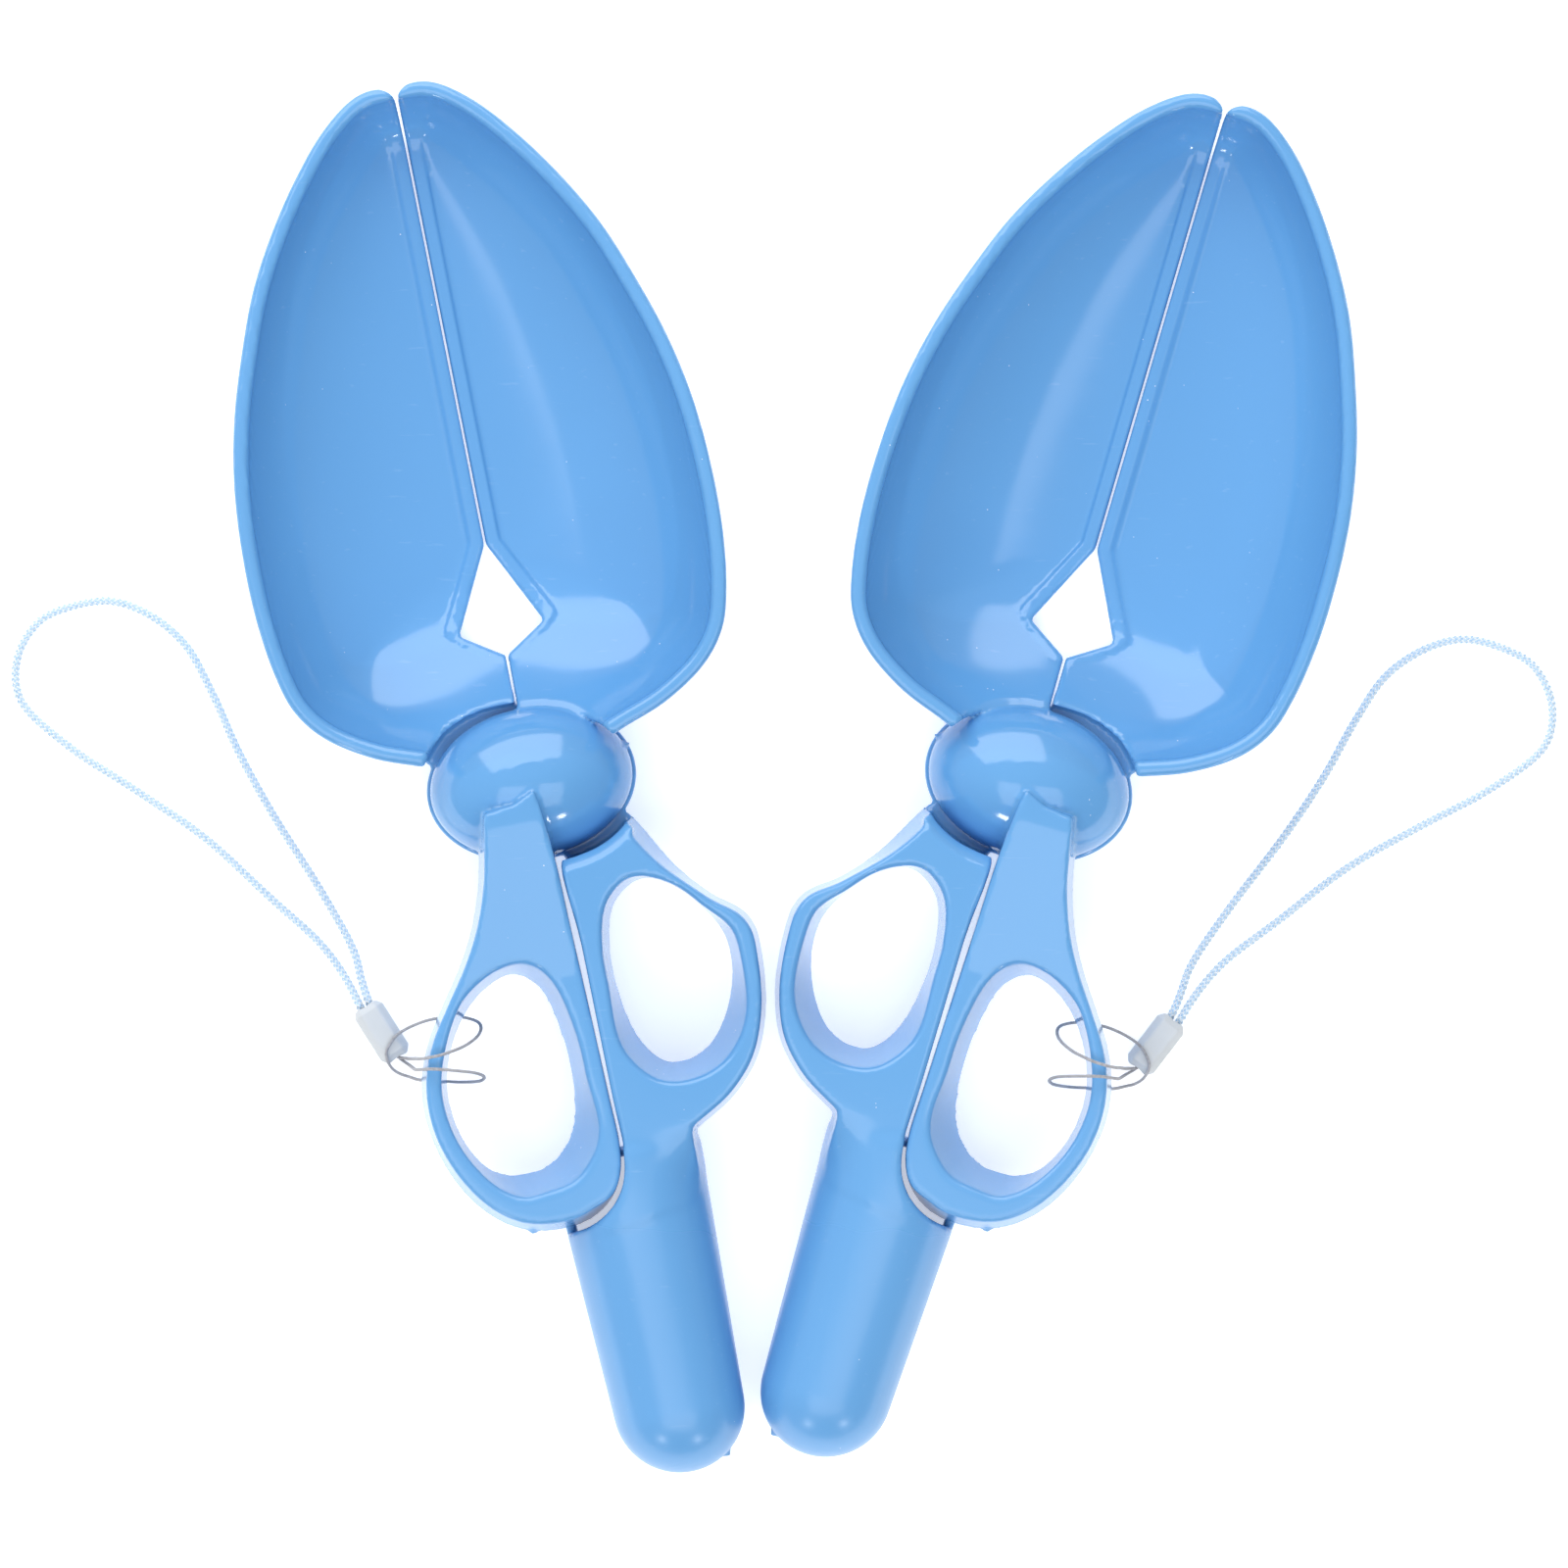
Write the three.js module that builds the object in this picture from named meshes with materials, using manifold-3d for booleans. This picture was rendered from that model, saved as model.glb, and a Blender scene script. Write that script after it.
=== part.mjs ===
// A pair of scissor-action grabber scoops, left and right, lying on a flat surface with their bowls up.
// Each grabber is two crossed plastic levers on one upright pivot: the lower lever carries one half of the
// bowl and the grip tube, the upper lever carries the other half, the pivot dome and the second finger ring.
// Millimetres, +Z up. One grabber is modelled in its own frame: origin on the pivot axis at the surface it
// lies on, +Y along the bowl's seam towards the tips, +X to the right. The right grabber mirrors the left.
import * as THREE from 'three';
import { mergeVertices } from 'three/addons/utils/BufferGeometryUtils.js';
import Module from 'manifold-3d';

const wasm = await Module();
wasm.setup();

// ---- Driving dimensions ----
const PIVOT_SPACING = 116.8; // between the two pivots
const LEFT_TURN = 11.2; // degrees anticlockwise that the left grabber is turned
const RIGHT_TURN = -16.3; // the same for the right grabber
const OPEN_ANGLE = 15; // how far the levers swing apart, degrees

const WALL = 2.4; // moulding thickness
const SEAM_HALF_GAP = 0.25; // half the gap between the closed bowl halves
const FLOOR_THICK = 2.3; // bowl floor
const RIM_WIDTH = 3.2; // rolled rim of the bowl
const RIM_DROP = 5; // how far the rolled rim hangs down outside
const RIM_OVERHANG = 1; // how far it stands out from the wall
const RIM_HEIGHT = 34; // rim above the surface, back and sides
const TIP_DROP = 10; // how much lower the rim is at the tip
const SADDLE_TOP = 20.3; // the bowl's floor where it meets the dome
const SADDLE_FLAT = 1.2; // width of its level part round the dome
const SADDLE_REACH = 19; // how far out the slope down to the floor runs

const DISC_TOP = 16; // top of the lower lever's pivot plate
const DISC_BOTTOM = 8;
const DISC_A = 24.8; // half length of the oval pivot plate, across
const DISC_B = 18.4; // half width of it
const DOME_A = 24; // the oval dome's half length
const DOME_B = 17.6; // its half width
const DOME_BASE = 16.6; // dome rim, clear of the pivot plate
const DOME_TOP = 36;
const SWING_GAP = 1.2; // clearance round the dome and the plate as they swing

const HANDLE_TOP = 35;
const HANDLE_BOTTOM = 16.6;
const DRAFT = 1.8; // how much wider a handle is at its open underside

const GRIP_START = -88; // grip tube, along the grabber
const GRIP_END = -166;
const GRIP_R0 = 17.9; // radius at its start
const GRIP_R1 = 15.4; // radius where its round end begins
const NEST_GAP = 1.2; // round the upper handle where it rests in the grip

const SCREW_R = 1.7;
const SCREW_HEAD_R = 4.2;
const BOSS_R = 5.2;

const STRAP_D = 2; // wrist strap
const CORD_D = 0.85; // thin cord that hitches the strap to the finger ring
const FERRULE = { length: 14.6, width: 7.6, bevel: 1.6, bore: 5 };

// ---- Geometry helpers ----
const rad = THREE.MathUtils.degToRad;
const v2 = (points) => points.map(([x, y]) => new THREE.Vector2(x, y));

// A closed mesh as a solid that can be cut and joined.
function solid(geometry) {
  const g = geometry.clone();
  g.deleteAttribute('normal');
  g.deleteAttribute('uv');
  const merged = mergeVertices(g, 1e-4);
  const mesh = new wasm.Mesh({
    numProp: 3,
    vertProperties: new Float32Array(merged.attributes.position.array),
    triVerts: new Uint32Array(merged.index.array),
  });
  return new wasm.Manifold(mesh);
}

function geometryOf(body) {
  const mesh = body.getMesh();
  const numbers = new Float32Array(mesh.vertProperties);
  const g = new THREE.BufferGeometry();
  g.setAttribute('position', new THREE.BufferAttribute(numbers, 3));
  g.setIndex(new THREE.BufferAttribute(new Uint32Array(mesh.triVerts), 1));
  g.computeVertexNormals();
  return g;
}

const joined = (...bodies) => bodies.reduce((a, b) => a.add(b));

// A smooth closed outline through a few points.
function smooth(points, count) {
  const curve = new THREE.CatmullRomCurve3(
    points.map(([x, y]) => new THREE.Vector3(x, y, 0)), true, 'centripetal');
  return curve.getSpacedPoints(count).slice(0, count).map((p) => new THREE.Vector2(p.x, p.y));
}

function anticlockwise(outline) {
  return THREE.ShapeUtils.isClockWise(outline) ? [...outline].reverse() : outline;
}

// The outline moved inwards by a distance, which may change from place to place.
function inset(outline, distance) {
  const n = outline.length;
  return outline.map((p, i) => {
    const before = outline[(i + n - 1) % n];
    const after = outline[(i + 1) % n];
    const along = after.clone().sub(before).normalize();
    const d = typeof distance === 'function' ? distance(p) : distance;
    return new THREE.Vector2(p.x - along.y * d, p.y + along.x * d);
  });
}

// How far a point is from an outline.
function distanceTo(outline, p) {
  const nearest = new THREE.Vector3();
  const at = new THREE.Vector3(p.x, p.y, 0);
  const edge = new THREE.Line3();
  return Math.min(...outline.map((a, i) => {
    const b = outline[(i + 1) % outline.length];
    edge.set(new THREE.Vector3(a.x, a.y, 0), new THREE.Vector3(b.x, b.y, 0));
    return edge.closestPointToPoint(at, true, nearest).distanceTo(at);
  }));
}

// The inset outline without the folds that it would get at tight corners.
function insetClean(outline, distance) {
  const reach = 0.97 * Math.abs(distance);
  return inset(outline, distance).filter((p) => distanceTo(outline, p) >= reach);
}

// A closed skin over rings of equally many points, one after another. endFaces gives the faces of one end.
function skin(rings, endFaces) {
  const n = rings[0].length;
  const last = (rings.length - 1) * n;
  const faces = [];
  for (let start = 0; start < last; start += n) {
    for (let i = 0; i < n; i++) {
      const a = start + i;
      const b = start + ((i + 1) % n);
      faces.push(a, b, b + n, a, b + n, a + n);
    }
  }
  for (const [a, b, c] of endFaces(rings[0])) faces.push(c, b, a);
  for (const [a, b, c] of endFaces(rings.at(-1))) faces.push(last + a, last + b, last + c);
  const numbers = rings.flat().flatMap((p) => [p.x, p.y, p.z]);
  const g = new THREE.BufferGeometry();
  g.setAttribute('position', new THREE.Float32BufferAttribute(numbers, 3));
  g.setIndex(faces);
  return solid(g);
}

// A stack of level rings, lowest first.
function stack(rings) {
  return skin(rings, (ring) => {
    const flat = ring.map((p) => new THREE.Vector2(p.x, p.y));
    return THREE.ShapeUtils.triangulateShape(flat, []);
  });
}

const ringAt = (outline, z) => outline.map((p) => new THREE.Vector3(p.x, p.y, z));

// An upright prism, with its top outline drawn in where there is draft.
function prism(outline, bottom, top, draft = 0) {
  const base = anticlockwise(outline);
  return stack([ringAt(base, bottom), ringAt(draft ? inset(base, draft) : base, top)]);
}

function block(x0, x1, y0, y1, z0, z1) {
  return prism(v2([[x0, y0], [x1, y0], [x1, y1], [x0, y1]]), z0, z1);
}

function ellipse(a, b, count, turn = 0) {
  const c = Math.cos(rad(turn));
  const s = Math.sin(rad(turn));
  return Array.from({ length: count }, (_, i) => {
    const t = (i / count) * 2 * Math.PI;
    const x = a * Math.cos(t);
    const y = b * Math.sin(t);
    return new THREE.Vector2(c * x - s * y, s * x + c * y);
  });
}

const rod = (radius, bottom, top, sides = 16) => prism(ellipse(radius, radius, sides), bottom, top);

// The space an oval needs as it swings from rest to the open angle.
function swept(a, b, bottom, top, direction) {
  const turns = [0, 0.5, 1].map((k) => k * OPEN_ANGLE * direction);
  return joined(...turns.map((turn) => prism(ellipse(a, b, 24, turn), bottom, top)));
}

// ---- The bowl ----
// Plan outline of the right half from the back middle round to the tip; the left half mirrors it.
const BOWL_HALF = [
  [0, 1], [9, 2.4], [17, 5.4], [23.5, 8.2], [35, 12.6], [45.6, 19.6], [51.2, 27], [53.9, 36], [55.7, 50],
  [55.9, 66], [54.6, 82], [51.6, 97], [47.2, 111], [41.6, 125.5], [34.4, 138.5], [26, 150.5],
  [17.5, 160], [9, 165.8], [0, 167],
];
const FLOOR_LINE = [43, 150]; // the floor's middle line runs between these stations

// The half outline, smoothed, as points from the back to the tip and back again down the other side.
function bowlOutline(perSide) {
  const half = new THREE.CatmullRomCurve3(
    BOWL_HALF.map(([x, y]) => new THREE.Vector3(x, y, 0)), false, 'centripetal').getSpacedPoints(perSide);
  const right = half.map((p) => new THREE.Vector2(p.x, p.y));
  const left = right.slice(1, -1).reverse().map((p) => new THREE.Vector2(-p.x, p.y));
  return [...right, ...left];
}

const rimHeight = (p) => RIM_HEIGHT - TIP_DROP * THREE.MathUtils.smoothstep(p.y, 70, 175);

// One ring of the bowl at a share of the way out from the floor's middle line to the rim.
function bowlRing(outline, share, drawnIn, height) {
  const [y0, y1] = FLOOR_LINE;
  return outline.map((p) => {
    const middle = new THREE.Vector2(0, THREE.MathUtils.mapLinear(p.y, 8, 167, y0, y1));
    const out = p.clone().sub(middle);
    const reach = (out.length() - drawnIn) * share;
    const q = middle.add(out.setLength(reach));
    return new THREE.Vector3(q.x, q.y, height(p));
  });
}

// A bowl-shaped body: a superellipse section from the floor at `low` up to the rim.
function bowlBody(outline, low, drawnIn, levels, topRings) {
  const rings = [];
  for (let k = 1; k <= levels; k++) {
    const t = (k / levels) * (Math.PI / 2);
    const share = Math.sin(t) ** 0.83;
    const rise = k === 1 ? 0 : 1 - Math.cos(t) ** 0.91;
    const top = (p) => rimHeight(p) - (topRings.length ? RIM_DROP : 0);
    rings.push(bowlRing(outline, share, drawnIn, (p) => low + (top(p) - low) * rise));
  }
  return stack([...rings, ...topRings]);
}

const outline = bowlOutline(19);
const BOWL_OUTER = bowlBody(outline, 0, RIM_OVERHANG, 5, [
  bowlRing(outline, 1, 0, (p) => rimHeight(p) - RIM_DROP + 0.8),
  bowlRing(outline, 1, 0, rimHeight),
]);
const BOWL_INNER = joined(
  bowlBody(outline, FLOOR_THICK, RIM_WIDTH, 5, []),
  stack([
    bowlRing(outline, 1, RIM_WIDTH, (p) => rimHeight(p) - 0.5),
    bowlRing(outline, 1, RIM_WIDTH, () => 60),
  ]),
);

// Everything on one side of the seam, notched for half of the kite-shaped window and rounded at the tip.
function half(side) {
  const points = [
    [SEAM_HALF_GAP, 2], [SEAM_HALF_GAP, 30.6], [10.1, 37], [SEAM_HALF_GAP, 57], [SEAM_HALF_GAP, 163.4],
    [1.1, 165], [3, 166.3], [6.5, 167.2], [60, 168], [60, 2],
  ];
  return prism(v2(points.map(([x, y]) => [side * x, y])), -5, 70);
}

// The saddle: the bowl's floor rises in a cone to a level ring round the dome.
function saddle() {
  const cone = (lower) => stack([
    ringAt(ellipse(DOME_A + SADDLE_REACH, DOME_B + SADDLE_REACH, 28), FLOOR_THICK + 1 - lower),
    ringAt(ellipse(DOME_A + SADDLE_FLAT, DOME_B + SADDLE_FLAT, 28), SADDLE_TOP - lower),
  ]);
  return cone(0).subtract(cone(WALL + 0.2)).intersect(BOWL_OUTER);
}

function bowlHalf(side) {
  const shell = joined(BOWL_OUTER.subtract(BOWL_INNER), saddle());
  const lip = block(-RIM_WIDTH, RIM_WIDTH, 57, 158, 0, FLOOR_THICK + 1.1).intersect(BOWL_OUTER);
  return shell.add(lip).intersect(half(side));
}

// ---- Handles: open-bottomed channel mouldings with a finger ring ----
const UPPER_HANDLE = [
  [0.5, -1.8], [-6, -2.9], [-13.6, -3.2], [-14.8, -10], [-17, -21], [-20.6, -31], [-25, -39],
  [-30.5, -47], [-35.4, -54.5], [-38.7, -62.5], [-39.8, -71], [-38.6, -80.5], [-35, -90], [-29.5, -97.6],
  [-22.5, -102.5], [-14, -104.3], [-6, -103.2], [-0.6, -99.6], [2.6, -94.4], [3.9, -88], [3.7, -75],
  [3.2, -55], [2.6, -35], [2.1, -18],
];
const UPPER_RING = [
  [-13.5, -43.4], [-22.8, -47.4], [-30.2, -57], [-33.4, -68], [-31.6, -80], [-26.6, -87.5], [-19.5, -89.8],
  [-12, -88], [-6.6, -82], [-4.3, -72], [-4.8, -58], [-8, -47],
];
const LOWER_HANDLE = [
  [4.3, -19.2], [9, -18.6], [14.8, -16.6], [21.6, -12.6], [25.4, -18.4], [29.6, -25.6], [36.2, -33.4],
  [43, -39], [45.2, -43.6], [45.4, -51], [43.9, -62.6], [39.6, -73.6], [32.4, -81.4], [22.9, -86.8],
  [22.4, -101], [6, -106], [-4, -106], [0.6, -102], [3.4, -97.6], [4.7, -91], [4.5, -75], [4.3, -40],
];
const LOWER_RING = [
  [20.8, -27.2], [13.8, -31.4], [10.8, -40.5], [10.9, -54], [13.6, -64.2], [18, -69.8], [22.4, -70.8],
  [28.6, -68.6], [34.4, -61.4], [37.8, -51], [37.2, -43], [33.2, -36], [27, -29.6],
];

// Draft fades out next to the gap between the two handles, where the walls are upright.
const upperDraft = (p) => DRAFT * THREE.MathUtils.smoothstep(-p.x, -2, 6);
const lowerDraft = (p) => DRAFT * THREE.MathUtils.smoothstep(p.x, 5, 12);

function channelHandle(outer, ring, draft) {
  const outside = anticlockwise(outer);
  const hole = anticlockwise(ring);
  const holeTop = inset(hole, -DRAFT);
  const hollow = prism(insetClean(outside, WALL + DRAFT / 2), HANDLE_BOTTOM - 1, HANDLE_TOP - WALL);
  const collar = prism(insetClean(hole, -WALL - DRAFT / 2), HANDLE_BOTTOM - 2, HANDLE_TOP);
  const cut = stack([ringAt(hole, HANDLE_BOTTOM - 1), ringAt(holeTop, HANDLE_TOP + 1)]);
  return prism(outside, HANDLE_BOTTOM, HANDLE_TOP, draft).subtract(hollow.subtract(collar)).subtract(cut);
}

// The grip: an open-bottomed tube with a half-round top and a ball end.
const gripRadius = (y) => THREE.MathUtils.mapLinear(y, GRIP_START, GRIP_END + GRIP_R1, GRIP_R0, GRIP_R1);
const gripMiddle = (y) => THREE.MathUtils.mapLinear(y, GRIP_START, GRIP_END, 4.7, 5.7);

function gripSection(y, radius, low) {
  const points = [new THREE.Vector3(gripMiddle(y) + radius, y, low)];
  for (let k = 0; k <= 10; k++) {
    const t = (k / 10) * Math.PI;
    points.push(new THREE.Vector3(gripMiddle(y) + radius * Math.cos(t), y, GRIP_R0 + radius * Math.sin(t)));
  }
  points.push(new THREE.Vector3(gripMiddle(y) - radius, y, low));
  return points;
}

function gripBody(thinner, low, from) {
  const ballAt = GRIP_END + GRIP_R1;
  const stations = [[from, gripRadius(from)], [-110, gripRadius(-110)], [-130, gripRadius(-130)]];
  for (const degrees of [0, 22, 42, 60, 75]) {
    stations.push([ballAt - GRIP_R1 * Math.sin(rad(degrees)), GRIP_R1 * Math.cos(rad(degrees))]);
  }
  const rings = stations.map(([y, r]) => {
    const drawnIn = y < ballAt ? thinner : 0;
    return gripSection(y + drawnIn, Math.max(r - thinner, 1), low);
  });
  const fan = (ring) => ring.slice(2).map((_, i) => [0, i + 1, i + 2]);
  return skin(rings, fan);
}

// The hollow tube, notched at its top for the upper handle to rest in.
function grip() {
  const nest = prism(inset(anticlockwise(smooth(UPPER_HANDLE, 42)), -NEST_GAP), DISC_TOP, 70);
  const whole = gripBody(0, 0, GRIP_START);
  const hollow = gripBody(WALL, -1, GRIP_START - WALL);
  const ribs = [-112, -128, -144].map((y) => block(-30, 40, y - 0.8, y + 0.8, 6, 60).intersect(whole));
  return joined(whole.subtract(hollow), ...ribs).subtract(nest);
}

// ---- The two levers ----
const DOME_STEPS = 5;

function domeBody(a, b, top, low) {
  const rings = [ringAt(ellipse(a, b, 26), low)];
  for (let k = 0; k <= DOME_STEPS; k++) {
    const t = (k / DOME_STEPS) * rad(86);
    const base = DOME_BASE + 1;
    rings.push(ringAt(ellipse(a * Math.cos(t), b * Math.cos(t), 26), base + (top - base) * Math.sin(t)));
  }
  return stack(rings);
}

function upperLever() {
  const outer = domeBody(DOME_A, DOME_B, DOME_TOP, DOME_BASE);
  const core = domeBody(DOME_A - 0.8, DOME_B - 0.8, DOME_TOP - 0.8, DOME_BASE - 9);
  const cavity = domeBody(DOME_A - WALL, DOME_B - WALL, DOME_TOP - WALL, DOME_BASE - 1);
  const boss = rod(BOSS_R, DOME_BASE, DOME_TOP - WALL);
  const dome = outer.subtract(cavity).add(boss);
  const bowl = bowlHalf(1).subtract(prism(ellipse(DOME_A - 0.8, DOME_B - 0.8, 26), DOME_BASE - 9, 70));
  const handle = channelHandle(smooth(UPPER_HANDLE, 42), smooth(UPPER_RING, 24), upperDraft);
  const plateSpace = swept(DISC_A + SWING_GAP, DISC_B + SWING_GAP, -5, DOME_BASE, 1);
  const arms = joined(bowl, handle.subtract(core)).subtract(plateSpace);
  return arms.add(dome).subtract(rod(SCREW_R + 0.3, 0, DOME_TOP - 6, 12));
}

function lowerLever() {
  const domeSpace = swept(DOME_A + SWING_GAP, DOME_B + SWING_GAP, DISC_TOP, 70, -1);
  const ledge = (spread, low, high) => {
    const gap = SWING_GAP + spread;
    return swept(DOME_A + gap, DOME_B + gap, low, high, -1);
  };
  const plate = prism(ellipse(DISC_A, DISC_B, 28), DISC_BOTTOM, DISC_TOP);
  const underside = prism(ellipse(DISC_A - WALL, DISC_B - WALL, 28), DISC_BOTTOM - 1, DISC_TOP - WALL);
  const hub = plate.subtract(underside).add(rod(BOSS_R + 2, DISC_BOTTOM, DISC_TOP));

  // Ledges that reach out under the swinging dome, to the bowl's wall and to the handle.
  const bowlSector = prism(v2([[-SEAM_HALF_GAP, 5], [-SEAM_HALF_GAP, 40], [-40, 30], [-22.4, 8.2]]), 0, 70);
  const neckSector = prism(v2([[4.4, -5], [4.4, -40], [40, -40], [21, -11.5]]), 0, 70);
  const ledges = ledge(WALL - 0.2, DISC_TOP - WALL, DISC_TOP).intersect(bowlSector.add(neckSector));
  const wallBand = (top) => ledge(WALL, DISC_BOTTOM, top).subtract(ledge(0, DISC_BOTTOM - 1, 70));
  const bowlWall = wallBand(RIM_HEIGHT - 1).subtract(BOWL_INNER).add(wallBand(SADDLE_TOP - 0.5))
    .intersect(bowlSector).intersect(half(-1));
  const neckWall = wallBand(HANDLE_TOP).intersect(neckSector)
    .intersect(prism(insetClean(anticlockwise(smooth(LOWER_HANDLE, 42)), DRAFT), 0, HANDLE_TOP));

  const handle = channelHandle(smooth(LOWER_HANDLE, 42), smooth(LOWER_RING, 24), lowerDraft);
  const arms = joined(bowlHalf(-1), handle, grip()).subtract(domeSpace)
    .subtract(prism(ellipse(DISC_A - 1, DISC_B - 1, 28), -5, 70));
  return joined(arms, hub, ledges, bowlWall, neckWall).subtract(rod(SCREW_R + 0.6, 0, 30, 12));
}

// ---- Pivot hardware ----
function screw() {
  const head = rod(SCREW_HEAD_R, DISC_BOTTOM - 3.6, DISC_BOTTOM - 1.4, 18);
  const slots = block(-0.5, 0.5, -2.4, 2.4, 0, DISC_BOTTOM - 2.6)
    .add(block(-2.4, 2.4, -0.5, 0.5, 0, DISC_BOTTOM - 2.6));
  return head.subtract(slots).add(rod(SCREW_R, DISC_BOTTOM - 1.5, DOME_TOP - 7, 12));
}

const washer = () => rod(6, DISC_BOTTOM - 1.1, DISC_BOTTOM - 0.3, 20).subtract(rod(SCREW_R + 0.3, 0, 30, 12));

// ---- Wrist lanyard ----
// Routes in the grabber's own frame. The strap leaves the ferrule, loops over the surface and comes back.
const STRAP_ROUTE = [
  [-46.2, -47.2, 3.8], [-47.6, -43.5, 3.8], [-48.4, -38, 2.6], [-48.9, -31, 1.2], [-53.6, -15.9, 1.15],
  [-61.6, 5.1, 1.15], [-66.5, 20.7, 1.15], [-70, 35.9, 1.15], [-74, 47.9, 1.15], [-81.2, 56.6, 1.15],
  [-89.2, 61.2, 1.15], [-98.7, 61.7, 1.15], [-106.3, 59.9, 1.15], [-112.4, 53.9, 1.15], [-114.7, 47.1, 1.15],
  [-114, 41.3, 1.15], [-105.1, 29.2, 1.15], [-91.6, 16, 1.15], [-78.1, 2.1, 1.15], [-65.6, -14.9, 1.15],
  [-56.4, -27.4, 1.15], [-52.9, -34.4, 1.4], [-51.1, -39.6, 2.8], [-49.8, -44.3, 3.8], [-48.3, -48, 3.8],
];
// The thin cord leaves the ferrule's other end, hitches round the ring's limb twice and goes back in.
const CORD_ROUTE = [
  [-44.7, -54.3, 5], [-43.7, -57, 5.2], [-41.6, -57.9, 7], [-39.1, -58.3, 21],
  [-38.2, -58.4, 31], [-36.5, -58.5, 35.9], [-33.1, -58.5, 36.6], [-30, -58.1, 35.6], [-27.1, -57.5, 32],
  [-24.2, -56.2, 28], [-22.8, -54.6, 23.5], [-22.9, -53.1, 19.2], [-24.4, -51.9, 15.9], [-27.1, -50.8, 14.9],
  [-33.2, -50, 13.9], [-39.6, -50.9, 9], [-42.6, -52.1, 8.7],
  [-44.6, -53.8, 8.7], [-45.9, -55.6, 8.6], [-46, -57.7, 8.2], [-45.3, -59.7, 6.4], [-43.8, -61.2, 4.6],
  [-41.8, -62.3, 5], [-40.3, -63.1, 8.6], [-38.6, -63.7, 13], [-36, -64.4, 14.9], [-32.8, -65.1, 15.2],
  [-30.2, -65.7, 17.5], [-25.2, -66.3, 25], [-24.1, -65.6, 29], [-25.3, -64.5, 32.7],
  [-28.4, -63.3, 35.7], [-35.4, -61.3, 36.6], [-38.1, -60.9, 34.6], [-39.3, -60.8, 29],
  [-40, -60.6, 20], [-40.7, -60.1, 10.5], [-41.6, -59.2, 5.2], [-43.3, -57.4, 3.1], [-44.6, -54.6, 2.9],
];
const FERRULE_AT = [-46.1, -50.7]; // its middle; it lies on the surface
const FERRULE_TURN = 21.2; // degrees anticlockwise from lying along the grabber

function tube(route, diameter, spacing) {
  const points = route.map(([x, y, z]) => new THREE.Vector3(x, y, z));
  const path = new THREE.CatmullRomCurve3(points, false, 'centripetal');
  const section = new THREE.Shape(ellipse(diameter / 2, diameter / 2, 8));
  const steps = Math.round(path.getLength() / spacing);
  return new THREE.ExtrudeGeometry(section, { steps, extrudePath: path, bevelEnabled: false });
}

// A bevelled sleeve: square with cut corners, its ends drawn in, with a bore right through.
function ferrule() {
  const { length, width, bevel, bore } = FERRULE;
  const h = width / 2;
  const k = h - bevel;
  const section = v2([[k, -h], [h, -k], [h, k], [k, h], [-k, h], [-h, k], [-h, -k], [-k, -h]]);
  const end = section.map((p) => p.clone().multiplyScalar(0.8));
  const sleeve = stack([
    ringAt(end, -length / 2), ringAt(section, -length / 2 + bevel),
    ringAt(section, length / 2 - bevel), ringAt(end, length / 2),
  ]);
  return sleeve.subtract(rod(bore / 2, -length, length, 12));
}

// ---- One grabber ----
const BLUE = { color: 0x6eaff0, roughness: 0.3, metalness: 0 };
const STEEL = { color: 0xb9bcc2, roughness: 0.3, metalness: 1 };
const SLEEVE = { color: 0xdce0e4, roughness: 0.4, metalness: 0 };
const BRAID = { color: 0xd9eefa, roughness: 0.8, metalness: 0 };
const THREAD = { color: 0x9c9ea4, roughness: 0.6, metalness: 0 };

function named(name, geometry, look) {
  const mesh = new THREE.Mesh(geometry, new THREE.MeshStandardMaterial(look));
  mesh.name = name;
  return mesh;
}

const LEVERS = { upper: geometryOf(upperLever()), lower: geometryOf(lowerLever()) };
const LOOSE = new Set(); // the lanyard's meshes, which don't count in the object's own box

function grabber(side) {
  const group = new THREE.Group();
  group.add(named(`${side}_lower_lever`, LEVERS.lower, BLUE));
  group.add(named(`${side}_upper_lever`, LEVERS.upper, BLUE));
  group.add(named(`${side}_pivot_screw`, geometryOf(screw()), STEEL));
  group.add(named(`${side}_pivot_washer`, geometryOf(washer()), STEEL));

  const sleeve = named(`${side}_strap_ferrule`, geometryOf(ferrule()), SLEEVE);
  sleeve.position.set(FERRULE_AT[0], FERRULE_AT[1], FERRULE.width / 2);
  sleeve.rotation.set(Math.PI / 2, 0, rad(FERRULE_TURN), 'ZXY');
  const strap = named(`${side}_wrist_strap`, tube(STRAP_ROUTE, STRAP_D, 3 * STRAP_D), BRAID);
  const cord = named(`${side}_hitch_cord`, tube(CORD_ROUTE, CORD_D, 3 * CORD_D), THREAD);
  for (const piece of [sleeve, strap, cord]) {
    LOOSE.add(piece);
    group.add(piece);
  }
  return group;
}

const pair = new THREE.Group();
const left = grabber('left');
left.rotation.z = rad(LEFT_TURN);
left.position.x = -PIVOT_SPACING / 2;
const right = grabber('right');
right.scale.x = -1;
right.rotation.z = rad(RIGHT_TURN);
right.position.x = PIVOT_SPACING / 2;
pair.add(left, right);

// The origin goes to the middle of the two grabbers' box, at the surface they lie on.
pair.updateMatrixWorld(true);
const box = new THREE.Box3();
pair.traverse((piece) => {
  if (piece.isMesh && !LOOSE.has(piece)) box.expandByObject(piece, true);
});
const middle = box.getCenter(new THREE.Vector3());
pair.position.set(-middle.x, -middle.y, -box.min.z);

const part = new THREE.Group();
part.add(pair);
export default part;
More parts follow.
